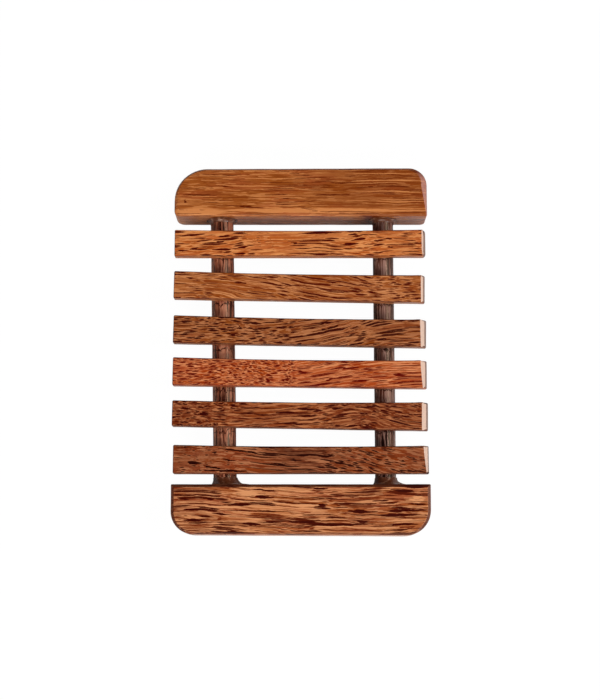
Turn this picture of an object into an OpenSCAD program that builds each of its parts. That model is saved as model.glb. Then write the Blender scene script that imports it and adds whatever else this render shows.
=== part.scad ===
// A slatted soap dish: two end blocks, two dowels let into them and six slats glued across the dowels.
// The dish lies on the XY plane with its origin under its middle. +Y runs to the back block and +Z is up.

/* [Overall] */
// Length from the front block's outer edge to the back block's
dish_l = 131; // [115:0.5:160]
// Width across the end blocks
dish_w = 90.3; // [80:0.1:120]
// Height of the end blocks, which are the feet of the dish
dish_h = 15; // [13:0.5:22]

/* [End blocks] */
// Depth of each end block, front to back
block_d = 17.7; // [16:0.1:22]
// How much shallower the back block is at its left end
back_taper = 0.4; // [0:0.1:1]
// How much shallower the front block is at its left end
front_taper = 0.4; // [0:0.1:1]
// Plan radius of the back block's outer left corner
back_left_r = 11.6; // [3:0.2:13]
// Plan radius of the back block's outer right corner
back_right_r = 6.4; // [3:0.2:13]
// Plan radius of the front block's outer left corner
front_left_r = 9.6; // [3:0.2:13]
// Plan radius of the front block's outer right corner
front_right_r = 10; // [3:0.2:13]
// Plan radius of the back block's left corner beside the slats
back_inner_left_r = 1.8; // [0.4:0.1:2.4]
// Plan radius of the back block's right corner beside the slats
back_inner_right_r = 0.6; // [0.4:0.1:2.4]
// Plan radius of the front block's corners beside the slats
front_inner_r = 0.4; // [0.3:0.1:2]
// Height of the sanded bevel round the top of a block
bevel_h = 1.2; // [0.4:0.1:2]
// Width of the back block's bevel at its left end
back_left_bevel = 1.3; // [0.4:0.1:2.5]
// Width of the back block's bevel at its outer right corner
back_right_bevel = 2.3; // [0.4:0.1:2.5]
// Width of the front block's bevels at both ends
front_end_bevel = 1.2; // [0.4:0.1:2.5]
// Width of the bevel along a block's outer edge
outer_bevel = 0.8; // [0.4:0.1:2.5]
// Width of the wide soft bevel on the back block's edge beside the slats
back_shoulder = 3.2; // [0.6:0.1:5]
// Width of the bevel on the front block's edge beside the slats
front_shoulder = 1.1; // [0.6:0.1:5]
// Height of the rounding under each end of a block
foot_h = 2.5; // [1:0.1:3.5]
// Width of that rounding
foot_w = 1.8; // [0.6:0.1:3]
// Width of the rounding along a block's lower long edges
foot_edge = 0.2; // [0.1:0.1:1]

/* [Dowels] */
// Diameter of the left dowel
left_dowel_d = 8.2; // [6.5:0.1:9]
// Diameter of the right dowel
right_dowel_d = 7.4; // [6.5:0.1:9]
// Distance from the blocks' left ends to the left dowel's axis
left_dowel_in = 17.65; // [12:0.05:24]
// Distance from the blocks' right ends to the right dowel's axis
right_dowel_in = 15.4; // [12:0.05:24]
// Height of the dowels' axes above the surface that the dish stands on
dowel_z = 7.5; // [6:0.1:8]
// Turn of the left dowel seen from above, in degrees
left_dowel_turn = 1.1; // [-1.5:0.05:1.5]
// Turn of the right dowel seen from above, in degrees
right_dowel_turn = 0.15; // [-1.5:0.05:1.5]
// Depth of the blind sockets in the end blocks
socket_depth = 12; // [6:0.5:14]
// Chamfer on the dowels' ends
dowel_chamfer = 0.8; // [0.3:0.1:1.5]

/* [Slats] */
// Width of a slat
slat_w = 9.9; // [7:0.1:11]
// Thickness of a slat
slat_t = 4; // [2.5:0.1:6]
// Depth of the cove under a slat where it sits on the slimmer dowel
cove_depth = 0.6; // [0.3:0.1:1.2]
// Clear gap between the back block and the first slat
back_gap = 4.9; // [3.5:0.1:7]
// Clear gap between the last slat and the front block
front_gap = 3.7; // [3.5:0.1:7]
// How far a slat's ends stay back from the ends of the blocks
slat_setback = 0.35; // [0:0.05:2]
// Largest turn of a slat seen from above, in degrees
slat_turn = 1; // [0:0.1:1.2]
// How far a slat's back edge is rubbed hollow at mid-length
slat_waist = 0.45; // [0:0.05:0.8]
// Largest narrowing of a slat toward its left end
slat_taper = 0.85; // [0:0.05:1.2]
// Plan radius of a slat's corners
slat_corner_r = 0.5; // [0.2:0.1:1]
// Width of the sanded bevel on a slat's right end
slat_right_bevel = 1.4; // [0.4:0.1:2.5]
// Slope of that bevel, in degrees
slat_right_slope = 38; // [25:1:50]
// Slant of that bevel across the slat, in degrees
slat_bevel_twist = 6; // [0:0.5:10]
// Width and height of the bevel on a slat's left end
slat_left_bevel = 0.5; // [0.2:0.1:1.5]
// Width and height of the bevels along a slat's front edges
slat_front_bevel = 0.5; // [0.2:0.1:1]
// Width and height of the bevels along a slat's back edges
slat_back_bevel = 0.3; // [0.2:0.1:1]

/* [Glue] */
// Reach of the glue fillets where the dowels enter the back block
back_glue_reach = 1.3; // [1:0.1:3]
// Reach of the glue fillets where the dowels enter the front block
front_glue_reach = 2.4; // [1:0.1:3]
// Thickness of a fillet at its feathered edges
glue_lip = 0.15; // [0.1:0.05:0.4]
// Clearance for glue between a dowel and what it touches
glue_seam = 0.05; // [0.02:0.01:0.2]
// Space left for glue at the bottom of a socket
socket_gap = 0.3; // [0.1:0.1:1]

/* [Hidden] */
// Steps in each rounded corner of an end block's outline
arc_steps = 8;
// Steps in each rounded corner of a slat's outline
slat_corner_steps = 4;
// Steps in the hollow of a slat's back edge
waist_steps = 16;
// Facets of the dowels, sockets and glue fillets
round_fn = 64;
// Slats on the dish
slat_count = 6;
// Overrun of the cutting shapes past what they cut
overrun = 1;
// Smallest radius that is left where a bevel thins a corner
arris_r = 0.25;

// Sanded bevel from its foot to its crest, as shares of its width and of its height
bevel_in_shares = [0, 0.12, 0.7, 1];
bevel_up_shares = [0, 0.3, 0.88, 1];
// Rounding under a block from the ground up, as shares of its width and of its height
foot_in_shares = [1, 0.45, 0];
foot_up_shares = [0, 0.3, 1];
// What is left of each end bevel of the back block beside the slats
back_left_bevel_share = 0.9;
back_right_bevel_share = 0.35;
// What is left of the front block's end bevels beside the slats
front_bevel_share = 1;
// Each slat from the back to the front: its width, taper, setback, sideways shift, turn and place
slat_w_shares = [0.98, 1, 1.01, 1.01, 1.01, 1];
taper_shares = [0, 0, 0, 0, 1, -0.35];
setback_shares = [1.1, 1.6, 1.15, 1.1, 0.7, 1.5];
shift_shares = [-0.55, -0.85, -0.75, -0.8, -0.7, 0.15];
turn_shares = [0.05, -0.98, -1, -0.72, -0.71, -0.12];
drift_shares = [0, -0.031, -0.067, -0.028, 0.01, 0];
// The bevel on each slat's right end: its width and its slant
bevel_w_shares = [1.07, 1, 1.4, 1, 1.5, 1];
bevel_twist_shares = [0, 0.1, 0.4, 0.9, 0, 1.1];

// Distance from the middle of the dish to the face of each end block beside the slats
face_y = dish_l / 2 - block_d;
// Dowel length: from socket to socket, less the space for glue
dowel_l = 2 * (face_y + socket_depth - socket_gap);
// Height of the slats' undersides, set by the slimmer dowel and the cove on it
slat_z = dowel_z + min(left_dowel_d, right_dowel_d) / 2 - cove_depth;
// Middle of the first slat, and the step from one slat to the next
first_slat_y = face_y - back_gap - slat_w / 2;
slat_pitch = (2 * face_y - back_gap - front_gap - slat_w) / (slat_count - 1);

back_color = "#a3592f";
front_color = "#b5713f";
slat_colors = ["#b9693a", "#a05d32", "#8a4b28", "#a55229", "#844423", "#804123"];
dowel_color = "#5f3a2c";
glue_color = "#3d2416";

SLAT_NODES = [for (i = [1:slat_count]) str("slat_", i)];

// A closed solid skinned over a stack of rings that all have the same number of points
module loft(rings) {
    n = len(rings[0]);
    last = len(rings) - 1;
    sides = [
        for (k = [0:last - 1], i = [0:n - 1])
            [k * n + i, (k + 1) * n + i, (k + 1) * n + (i + 1) % n, k * n + (i + 1) % n]
    ];
    floor_face = [for (i = [0:n - 1]) i];
    roof_face = [for (i = [n - 1:-1:0]) last * n + i];
    polyhedron(points = [for (ring = rings) each ring], faces = concat([floor_face], sides, [roof_face]));
}

// One corner of a block: which side it is on, its place, its radius and its two bevel widths
function corner(side_x, side_y, edge_y, r, end_bevel, long_bevel) =
    [side_x, side_y, edge_y, r, end_bevel, long_bevel];

// Arc of points round one corner at one level of the block
function corner_arc(c, bevel_share, foot_share, z) =
    let (
        in_x = c[4] * bevel_share + foot_w * foot_share,
        in_y = c[5] * bevel_share + foot_edge * foot_share,
        r = max(c[3] - min(in_x, in_y), arris_r),
        x = c[0] * (dish_w / 2 - in_x - r),
        y = c[2] - c[1] * (in_y + r),
        start = c[0] > 0 ? (c[1] > 0 ? 0 : 270) : (c[1] > 0 ? 90 : 180)
    )
    [for (i = [0:arc_steps]) let (a = start + 90 * i / arc_steps) [x + r * cos(a), y + r * sin(a), z]];

// Full outline of the block at one level, counter-clockwise from the inner left corner
function block_ring(corners, bevel_share, foot_share, z) =
    [for (c = corners) each corner_arc(c, bevel_share, foot_share, z)];

// Block body, with the face beside the slats on y = 0 and its outer edge at +Y
module block_body(corners) {
    foot = [
        for (k = [0:len(foot_in_shares) - 1])
            block_ring(corners, 0, foot_in_shares[k], foot_h * foot_up_shares[k])
    ];
    bevel = [
        for (k = [0:len(bevel_in_shares) - 1])
            block_ring(corners, bevel_in_shares[k], 0, dish_h - bevel_h * (1 - bevel_up_shares[k]))
    ];
    loft(concat(foot, bevel));
}

// Places its children on a dowel's axis, which they take as their +Z, with the origin mid-length
module on_dowel(side) {
    x = side * (dish_w / 2 - (side < 0 ? left_dowel_in : right_dowel_in));
    turn = side < 0 ? left_dowel_turn : right_dowel_turn;
    translate([x, 0, dowel_z]) rotate([-90, 0, turn]) children();
}

function dowel_d(side) = side < 0 ? left_dowel_d : right_dowel_d;

// The room that a dowel needs in what it passes into, from end to end of its sockets
module dowel_room(side) {
    on_dowel(side) cylinder(
        d = dowel_d(side) + 2 * glue_seam, h = dowel_l + 2 * socket_gap, center = true, $fn = round_fn);
}

// Back end block: large soft outer left corner, tighter right one, wide bevel beside the slats
module back_end_block() {
    color(back_color) difference() {
        translate([0, face_y, 0]) block_body([
            corner(-1, -1, 0, back_inner_left_r, back_left_bevel * back_left_bevel_share, back_shoulder),
            corner(1, -1, 0, back_inner_right_r, back_right_bevel * back_right_bevel_share, back_shoulder),
            corner(1, 1, block_d, back_right_r, back_right_bevel, outer_bevel),
            corner(-1, 1, block_d - back_taper, back_left_r, back_left_bevel, outer_bevel)
        ]);
        for (side = [-1, 1]) dowel_room(side);
    }
}

// Front end block: the same board turned round, with its rounded corners toward the user
module front_end_block() {
    inner_bevel = front_end_bevel * front_bevel_share;
    color(front_color) difference() {
        translate([0, -face_y, 0]) mirror([0, 1, 0]) block_body([
            corner(-1, -1, 0, front_inner_r, inner_bevel, front_shoulder),
            corner(1, -1, 0, front_inner_r, inner_bevel, front_shoulder),
            corner(1, 1, block_d, front_right_r, front_end_bevel, outer_bevel),
            corner(-1, 1, block_d - front_taper, front_left_r, front_end_bevel, outer_bevel)
        ]);
        for (side = [-1, 1]) dowel_room(side);
    }
}

// Dowel with chamfered ends, glued into a blind socket in each block
module dowel(side) {
    d = dowel_d(side);
    tip_d = d - 2 * dowel_chamfer;
    straight_l = dowel_l - 2 * dowel_chamfer;
    color(dowel_color) on_dowel(side) {
        cylinder(d = d, h = straight_l, center = true, $fn = round_fn);
        for (end = [0, 1]) mirror([0, 0, end]) translate([0, 0, straight_l / 2])
            cylinder(d1 = d, d2 = tip_d, h = dowel_chamfer, $fn = round_fn);
    }
}

// Long section of a slat seen from the front, with its top left corner broken
module slat_long_section(l) {
    polygon([
        [-l / 2, 0],
        [l / 2, 0],
        [l / 2, slat_t],
        [-l / 2 + slat_left_bevel, slat_t],
        [-l / 2, slat_t - slat_left_bevel]
    ]);
}

// Cross-section of a slat seen from the right, with its front edges broken more than its back ones
module slat_cross_section(w) {
    f = slat_front_bevel;
    b = slat_back_bevel;
    polygon([
        [-w / 2 + f, 0],
        [w / 2 - b, 0],
        [w / 2, b],
        [w / 2, slat_t - b],
        [w / 2 - b, slat_t],
        [-w / 2 + f, slat_t],
        [-w / 2, slat_t - f],
        [-w / 2, f]
    ]);
}

// Arc of points round one corner of a slat of length l, whose width at that end is w
function slat_corner(side_x, side_y, l, w) =
    let (start = side_x > 0 ? (side_y > 0 ? 0 : 270) : (side_y > 0 ? 90 : 180), r = slat_corner_r)
    [
        for (i = [0:slat_corner_steps]) let (a = start + 90 * i / slat_corner_steps)
            [side_x * (l / 2 - r) + r * cos(a), side_y * (w / 2 - r) + r * sin(a)]
    ];

// Plan of a slat: w wide at its right end, tapered toward its left and hollow along its back edge
module slat_plan(l, w, taper) {
    polygon(concat(
        slat_corner(1, -1, l, w),
        slat_corner(1, 1, l, w),
        [
            for (i = [1:waist_steps - 1]) let (s = 1 - 2 * i / waist_steps)
                [s * l / 2, w / 2 - taper * (1 - s) / 4 - slat_waist * (1 - s * s)]
        ],
        slat_corner(-1, 1, l, w - taper),
        slat_corner(-1, -1, l, w - taper)
    ));
}

// What the sander takes off a slat's top right edge: a block tipped by the bevel's slope and turned by its slant
module slat_bevel_waste(l, w, bevel, twist) {
    translate([l / 2 - bevel, 0, slat_t]) rotate([0, slat_right_slope, twist])
        translate([-bevel, -w, 0]) cube([2 * bevel + slat_t, 2 * w, slat_t]);
}

// Slat number i from the back: what its plan and its two sections have in common, less the bevel and coves
module slat(i) {
    setback = slat_setback * setback_shares[i];
    l = dish_w - 2 * setback;
    w = slat_w * slat_w_shares[i];
    taper = slat_taper * taper_shares[i];
    x = setback * shift_shares[i];
    y = first_slat_y - slat_pitch * (i - drift_shares[i]);
    bevel = slat_right_bevel * bevel_w_shares[i];
    twist = slat_bevel_twist * bevel_twist_shares[i];
    color(slat_colors[i]) difference() {
        translate([x, y, slat_z]) rotate([0, 0, slat_turn * turn_shares[i]]) difference() {
            intersection() {
                linear_extrude(slat_t) slat_plan(l, w, taper);
                rotate([90, 0, 0]) linear_extrude(w, center = true) slat_long_section(l);
                rotate([90, 0, 90]) linear_extrude(l, center = true) slat_cross_section(max(w, w - taper));
            }
            slat_bevel_waste(l, w, bevel, twist);
        }
        for (side = [-1, 1]) dowel_room(side);
    }
}

// Half profile of a glue fillet: a concave quarter round between the block's face and the dowel
module glue_profile(d, reach) {
    side = reach + glue_lip;
    difference() {
        translate([d / 2 + glue_seam, -overrun]) square([side, side + overrun]);
        translate([d / 2 + glue_seam + side, side]) circle(r = reach, $fn = round_fn);
    }
}

function glue_reach(end) = end > 0 ? back_glue_reach : front_glue_reach;

// Bead of glue squeezed out where a dowel enters a block: end is 1 at the back block, -1 at the front
module glue(side, end) {
    color(glue_color) difference() {
        on_dowel(side) mirror([0, 0, end > 0 ? 1 : 0]) translate([0, 0, -face_y])
            rotate_extrude($fn = round_fn) glue_profile(dowel_d(side), glue_reach(end));
        translate([-dish_w / 2, end > 0 ? face_y - glue_seam : -face_y + glue_seam - block_d, 0])
            cube([dish_w, block_d, dish_h]);
    }
}

back_end_block();
front_end_block();
dowel(-1);  // left_dowel
dowel(1);  // right_dowel
for (i = [0:slat_count - 1]) slat(i);
glue(-1, 1);  // back_left_glue
glue(1, 1);  // back_right_glue
glue(-1, -1);  // front_left_glue
glue(1, -1);  // front_right_glue
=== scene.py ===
import bmesh
import bpy
import math
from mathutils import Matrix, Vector


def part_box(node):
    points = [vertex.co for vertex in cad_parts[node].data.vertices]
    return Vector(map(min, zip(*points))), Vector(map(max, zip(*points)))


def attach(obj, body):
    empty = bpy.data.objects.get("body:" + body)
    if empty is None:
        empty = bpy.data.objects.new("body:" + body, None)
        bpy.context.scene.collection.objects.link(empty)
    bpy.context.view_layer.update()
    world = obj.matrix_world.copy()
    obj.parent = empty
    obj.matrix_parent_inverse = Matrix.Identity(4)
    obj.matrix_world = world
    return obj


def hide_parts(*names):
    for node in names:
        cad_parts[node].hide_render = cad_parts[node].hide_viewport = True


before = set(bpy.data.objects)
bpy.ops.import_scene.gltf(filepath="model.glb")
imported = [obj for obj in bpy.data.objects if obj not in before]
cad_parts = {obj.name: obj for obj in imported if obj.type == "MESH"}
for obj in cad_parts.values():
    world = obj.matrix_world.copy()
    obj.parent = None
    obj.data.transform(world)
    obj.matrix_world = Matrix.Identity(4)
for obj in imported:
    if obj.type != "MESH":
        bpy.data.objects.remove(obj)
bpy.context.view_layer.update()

mm = 0.001

# Camera. The dish is photographed from almost straight above, from about half a metre away,
# with the camera tipped a few degrees toward the front, so the back block shows its inner face.
camera_tilt = math.radians(8.92)
camera_distance = 526.6 * mm
camera_target = Vector((-0.27, -0.3, 12)) * mm
film_w = 36
picture_h_px = 700
px_per_mm = 2.827

camera = bpy.data.objects.new("camera", bpy.data.cameras.new("camera"))
bpy.context.scene.collection.objects.link(camera)
camera_way = Vector((0, -math.sin(camera_tilt), math.cos(camera_tilt)))
camera.location = camera_target + camera_distance * camera_way
camera.rotation_euler = (camera_tilt, 0, 0)
camera.data.sensor_width = film_w
camera.data.lens = px_per_mm * camera_distance / mm / picture_h_px * film_w
bpy.context.scene.camera = camera
bpy.context.scene.view_settings.view_transform = "Standard"

# Studio. A pale sweep of paper in a tent that is brightest at the front and right and dark overhead,
# where the camera is. A low lamp at the right catches the sanded ends; a high one beside it and a
# warmer one at the front light the tops.
sky_low = 0.8
sky_high = 0.04
sky_back_share = 0.3
sky_brightest_way = (0.6, -0.8, 0)
sky_back_at = -0.4
sky_front_at = 0.6
paper_size = 3
paper_drop = 0.15 * mm
paper_white = 0.86
paper_shadow_share = 0.04
paper_glow = 1.02
paper_gloss_share = 0.05


def put(tree, kind, inputs=(), **settings):
    """Add a node, set it up, and give its inputs values or other nodes' outputs."""
    made = tree.nodes.new("ShaderNode" + kind)
    for name, value in settings.items():
        setattr(made, name, value)
    for name, value in dict(inputs).items():
        if isinstance(value, bpy.types.NodeSocket):
            tree.links.new(value, made.inputs[name])
        else:
            made.inputs[name].default_value = value
    return made


sky = bpy.data.worlds.new("white sky")
bpy.context.scene.world = sky
sky.use_nodes = True
tent = sky.node_tree
sky_way = put(tent, "TexCoord").outputs["Generated"]
sky_height = put(tent, "SeparateXYZ", {0: sky_way}).outputs["Z"]
sky_fall = put(tent, "MapRange", {
    "Value": sky_height, "To Min": sky_low, "To Max": sky_high}).outputs["Result"]
sky_side = put(tent, "VectorMath", {
    0: sky_way, 1: sky_brightest_way}, operation="DOT_PRODUCT").outputs["Value"]
sky_share = put(tent, "MapRange", {
    "Value": sky_side, "From Min": sky_back_at, "From Max": sky_front_at, "To Min": sky_back_share},
                interpolation_type="SMOOTHSTEP").outputs["Result"]
sky_level = put(tent, "Math", {0: sky_fall, 1: sky_share}, operation="MULTIPLY").outputs[0]
seen_ray = put(tent, "LightPath").outputs["Is Camera Ray"]
brightness = put(tent, "MapRange", {"Value": seen_ray, "To Min": sky_level, "To Max": 1}).outputs["Result"]
tent.nodes["Background"].inputs["Color"].default_value = (1, 1, 1, 1)
tent.links.new(brightness, tent.nodes["Background"].inputs["Strength"])


def lamp(name, azimuth, elevation, distance, across, along, radiance, tint=(1, 1, 1)):
    """A rectangular soft box aimed at the dish; azimuth 0 is the front and 90 the right."""
    box_light = bpy.data.lights.new(name, "AREA")
    box_light.shape = "RECTANGLE"
    box_light.size = across
    box_light.size_y = along
    box_light.energy = radiance * math.pi * across * along
    box_light.color = tint
    holder = bpy.data.objects.new(name, box_light)
    bpy.context.scene.collection.objects.link(holder)
    turn, lift = math.radians(azimuth), math.radians(elevation)
    ray = Vector((math.sin(turn) * math.cos(lift), -math.cos(turn) * math.cos(lift), math.sin(lift)))
    holder.location = ray * distance
    holder.rotation_euler = ray.to_track_quat("Z", "Y").to_euler()


lamp("low_right_lamp", azimuth=98, elevation=14, distance=1.2, across=0.7, along=0.3, radiance=1.5,
     tint=(1, 0.97, 0.94))
lamp("high_right_lamp", azimuth=95, elevation=50, distance=1.2, across=0.9, along=0.35, radiance=7.6)
lamp("front_lamp", azimuth=-10, elevation=46, distance=1.3, across=1.1, along=0.5, radiance=6,
     tint=(1, 0.96, 0.9))

bpy.ops.object.select_all(action="DESELECT")
bpy.ops.mesh.primitive_grid_add(x_subdivisions=2, y_subdivisions=2, size=paper_size,
                                location=(0, 0, -paper_drop))
paper = bpy.context.active_object
paper.name = "paper_sweep"
paper_finish = bpy.data.materials.new("white paper")
paper_finish.use_nodes = True
paper.data.materials.append(paper_finish)
paper_tree = paper_finish.node_tree
paper_tree.nodes.clear()
matt = put(paper_tree, "BsdfDiffuse", {"Color": (paper_white, paper_white, paper_white, 1)})
glow = put(paper_tree, "Emission", {"Color": (1, 1, 1, 1), "Strength": paper_glow})
ray_kind = put(paper_tree, "LightPath")
camera_share = put(paper_tree, "Math", {0: ray_kind.outputs["Is Camera Ray"], 1: 1 - paper_shadow_share},
                   operation="MULTIPLY")
glow_share = put(paper_tree, "Math", {
    0: ray_kind.outputs["Is Glossy Ray"], 1: paper_gloss_share, 2: camera_share.outputs[0]},
                 operation="MULTIPLY_ADD")
lit_paper = put(paper_tree, "MixShader", {0: glow_share.outputs[0], 1: matt.outputs[0], 2: glow.outputs[0]})
from_below = put(paper_tree, "NewGeometry").outputs["Backfacing"]
clear_below = put(paper_tree, "BsdfTransparent")
paper_shader = put(paper_tree, "MixShader", {
    0: from_below, 1: lit_paper.outputs[0], 2: clear_below.outputs[0]})
put(paper_tree, "OutputMaterial", {"Surface": paper_shader.outputs[0]})

# Back end block. One board of palm wood stands across the back of the dish, with rounded outer
# corners, a sanded bevel round its top and a wide soft shoulder beside the slats.
foot_w = 1.8 * mm
foot_edge = 0.2 * mm
corner_steps = 12
arris_angle = 30
weight_of_large_faces = 60
foot_h = 2.5 * mm
foot_in_shares = [1, 0.68, 0.42, 0.2, 0.06, 0]
foot_up_shares = [0, 0.1, 0.28, 0.52, 0.78, 1]
bevel_h = 1.2 * mm
bevel_outer = 0.8 * mm
bevel_in_shares = [0, 0.03, 0.12, 0.3, 0.5, 0.7, 0.9, 1]
bevel_up_shares = [0, 0.16, 0.34, 0.5, 0.67, 0.83, 0.96, 1]
row_step = 2.2 * mm
swell_depth = 0.12 * mm
swell_size = 9 * mm
near_enough = 0.01 * mm
bevel_end_share = 0.1


def pick(kind, test):
    """Select the VERT, EDGE or FACE elements of the piece in hand that pass a test."""
    bpy.ops.mesh.select_mode(type=kind)
    bpy.ops.mesh.select_all(action="DESELECT")
    mesh = bmesh.from_edit_mesh(bpy.context.edit_object.data)
    for element in {"VERT": mesh.verts, "EDGE": mesh.edges, "FACE": mesh.faces}[kind]:
        if test(element):
            element.select_set(True)
    bmesh.update_edit_mesh(bpy.context.edit_object.data)


def bench(name):
    """Name the primitive just added, fix its place in its mesh and open it for editing."""
    piece = bpy.context.active_object
    piece.name = piece.data.name = name
    bpy.ops.object.transform_apply(location=True, rotation=True, scale=True)
    bpy.ops.object.mode_set(mode="EDIT")
    return piece


def cut_rows(axis, low, high, step):
    """Slice the piece into even rows, so that its flat faces can take a hand-made unevenness."""
    normal = [0, 0, 0]
    normal[axis] = 1
    count = max(2, round((high - low) / step))
    for row in range(1, count):
        place = [0, 0, 0]
        place[axis] = low + (high - low) * row / count
        bpy.ops.mesh.select_all(action="SELECT")
        bpy.ops.mesh.bisect(plane_co=place, plane_no=normal)


def apply_modifier(piece, kind, **settings):
    """Finish a piece with one modifier."""
    modifier = piece.modifiers.new(kind.lower(), kind)
    for name, value in settings.items():
        setattr(modifier, name, value)
    bpy.ops.object.modifier_apply(modifier=modifier.name)


def rub_by_hand(piece, depth, size):
    """Take the dead flatness off a piece with slow swells of a given depth and size."""
    swell = bpy.data.textures.new(piece.name + " swell", "CLOUDS")
    swell.noise_scale = size
    swell.noise_depth = 1
    apply_modifier(piece, "DISPLACE", texture=swell, texture_coords="LOCAL", strength=depth, mid_level=0.5)


def smooth(piece, degrees):
    """Smooth shading that keeps the sharp arrises, weighted by the size of the faces."""
    bpy.ops.object.shade_smooth_by_angle(angle=math.radians(degrees))
    apply_modifier(piece, "WEIGHTED_NORMAL", keep_sharp=True, weight=weight_of_large_faces)


dowel_turns = {"left_dowel": math.radians(1.1), "right_dowel": math.radians(0.15)}
dowel_sides = 64
glue_film = 0.05 * mm
socket_gap = 0.3 * mm


def bore_for_dowels(piece):
    """Cut the room for both dowels, which pass into or under every other piece."""
    for dowel_name, turn in dowel_turns.items():
        low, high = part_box(dowel_name)
        bpy.ops.mesh.primitive_cylinder_add(
            vertices=dowel_sides, radius=(high.z - low.z) / 2 + glue_film,
            depth=(high - low).y + 2 * socket_gap, location=(low + high) / 2,
            rotation=(math.pi / 2, 0, turn))
        cutter = bpy.context.active_object
        bpy.ops.object.select_all(action="DESELECT")
        bpy.context.view_layer.objects.active = piece
        piece.select_set(True)
        apply_modifier(piece, "BOOLEAN", object=cutter, operation="DIFFERENCE", solver="EXACT")
        bpy.data.objects.remove(cutter)


def end_block(node, name, side, taper, corner_r, end_bevels, inner_right_share, shoulder):
    """A block whose outer edge is at the back (side 1) or at the front (side -1).

    taper draws in its outer left corner. corner_r gives its plan radii: outer left, outer right, inner
    left and inner right. Of the right bevel, inner_right_share is left beside the slats."""
    low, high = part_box(node)
    width, depth, height = high - low
    inner_y, outer_y = (low.y, high.y) if side > 0 else (high.y, low.y)
    bpy.ops.object.select_all(action="DESELECT")
    bpy.ops.mesh.primitive_plane_add(size=1, location=((low.x + high.x) / 2, (low.y + high.y) / 2, low.z))
    bpy.context.active_object.scale = (width, depth, 1)
    piece = bench(name)

    def pick_corner(x, y):
        pick("VERT", lambda v: math.hypot(v.co.x - x, v.co.y - y) < near_enough)

    pick_corner(low.x, outer_y)
    bpy.ops.transform.translate(value=(0, -side * taper, 0))
    corners = [(low.x, outer_y - side * taper), (high.x, outer_y), (low.x, inner_y), (high.x, inner_y)]
    for (x, y), radius in zip(corners, corner_r):
        pick_corner(x, y)
        bpy.ops.mesh.bevel(offset=radius, offset_type="OFFSET", segments=corner_steps, affect="VERTICES")

    def draw_in(share, last_share, left, right, inner, outer):
        """Scale the chosen ring about the point that its four edge widths leave still."""
        across, deep = left + right, inner + outer
        still = Vector((low.x + left * width / across, inner_y + side * inner * depth / deep, 0))
        factor_x = (width - share * across) / (width - last_share * across)
        factor_y = (depth - share * deep) / (depth - last_share * deep)
        bpy.ops.transform.resize(value=(factor_x, factor_y, 1), center_override=still)

    bpy.ops.mesh.select_all(action="SELECT")
    draw_in(foot_in_shares[0], 0, foot_w, foot_w, foot_edge, foot_edge)
    for k in range(1, len(foot_in_shares)):
        rise = foot_h * (foot_up_shares[k] - foot_up_shares[k - 1])
        bpy.ops.mesh.extrude_region_move(TRANSFORM_OT_translate={"value": (0, 0, rise)})
        draw_in(foot_in_shares[k], foot_in_shares[k - 1], foot_w, foot_w, foot_edge, foot_edge)
    bpy.ops.mesh.extrude_region_move(TRANSFORM_OT_translate={"value": (0, 0, height - foot_h - bevel_h)})
    left_bevel, right_bevel = end_bevels
    for k in range(1, len(bevel_in_shares)):
        rise = bevel_h * (bevel_up_shares[k] - bevel_up_shares[k - 1])
        bpy.ops.mesh.extrude_region_move(TRANSFORM_OT_translate={"value": (0, 0, rise)})
        draw_in(bevel_in_shares[k], bevel_in_shares[k - 1], left_bevel, right_bevel, shoulder, bevel_outer)
    for k in range(1, len(bevel_in_shares)):
        ring_z = height - bevel_h * (1 - bevel_up_shares[k])
        beside_slats = inner_y + side * (corner_r[3] + shoulder)
        pick("VERT", lambda v: abs(v.co.z - ring_z) < near_enough
             and v.co.x > high.x - bevel_end_share * width and side * v.co.y < side * beside_slats)
        given_back = right_bevel * bevel_in_shares[k] * (1 - inner_right_share)
        bpy.ops.transform.translate(value=(given_back, 0, 0))
    bpy.ops.mesh.select_all(action="SELECT")
    bpy.ops.mesh.normals_make_consistent(inside=False)
    cut_rows(0, low.x, high.x, row_step)
    cut_rows(1, low.y, high.y, row_step)
    cut_rows(2, low.z + foot_h, high.z - bevel_h, 2 * row_step)
    bpy.ops.object.mode_set(mode="OBJECT")
    rub_by_hand(piece, swell_depth, swell_size)
    bore_for_dowels(piece)
    smooth(piece, arris_angle)
    return piece


def calc(tree, operation, a, b=0.0, c=0.0):
    """One arithmetic node; returns its result."""
    return put(tree, "Math", {0: a, 1: b, 2: c}, operation=operation).outputs[0]


def vector_calc(tree, operation, a, b, c=(0, 0, 0)):
    """One vector arithmetic node; returns its result."""
    return put(tree, "VectorMath", {0: a, 1: b, 2: c}, operation=operation).outputs[0]


def spread(tree, value, low, high, to_low=0.0, to_high=1.0, soft=True):
    """Carry a value from one range to another, and stop at its ends, softly or not."""
    ends = {"Value": value, "From Min": low, "From Max": high, "To Min": to_low, "To Max": to_high}
    kind = "SMOOTHSTEP" if soft else "LINEAR"
    return put(tree, "MapRange", ends, interpolation_type=kind).outputs["Result"]


def blend(tree, share, under, over):
    """Lay one colour over another."""
    made = put(tree, "Mix", {"Factor": share, 6: under, 7: over}, data_type="RGBA", clamp_factor=True)
    return made.outputs[2]


def new_group(name, inputs, outputs):
    """An empty shader node group with named sockets, and its two ends."""
    group = bpy.data.node_groups.new(name, "ShaderNodeTree")
    for socket, kind, value in inputs:
        asked = group.interface.new_socket(socket, in_out="INPUT", socket_type="NodeSocket" + kind)
        asked.default_value = value
    for socket, kind in outputs:
        group.interface.new_socket(socket, in_out="OUTPUT", socket_type="NodeSocket" + kind)
    return group, group.nodes.new("NodeGroupInput").outputs, group.nodes.new("NodeGroupOutput").inputs


def place_group(tree, group, inputs):
    """Set a node group into a node tree and give its inputs values or links; returns its outputs."""
    return put(tree, "Group", inputs, node_tree=group).outputs


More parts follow.
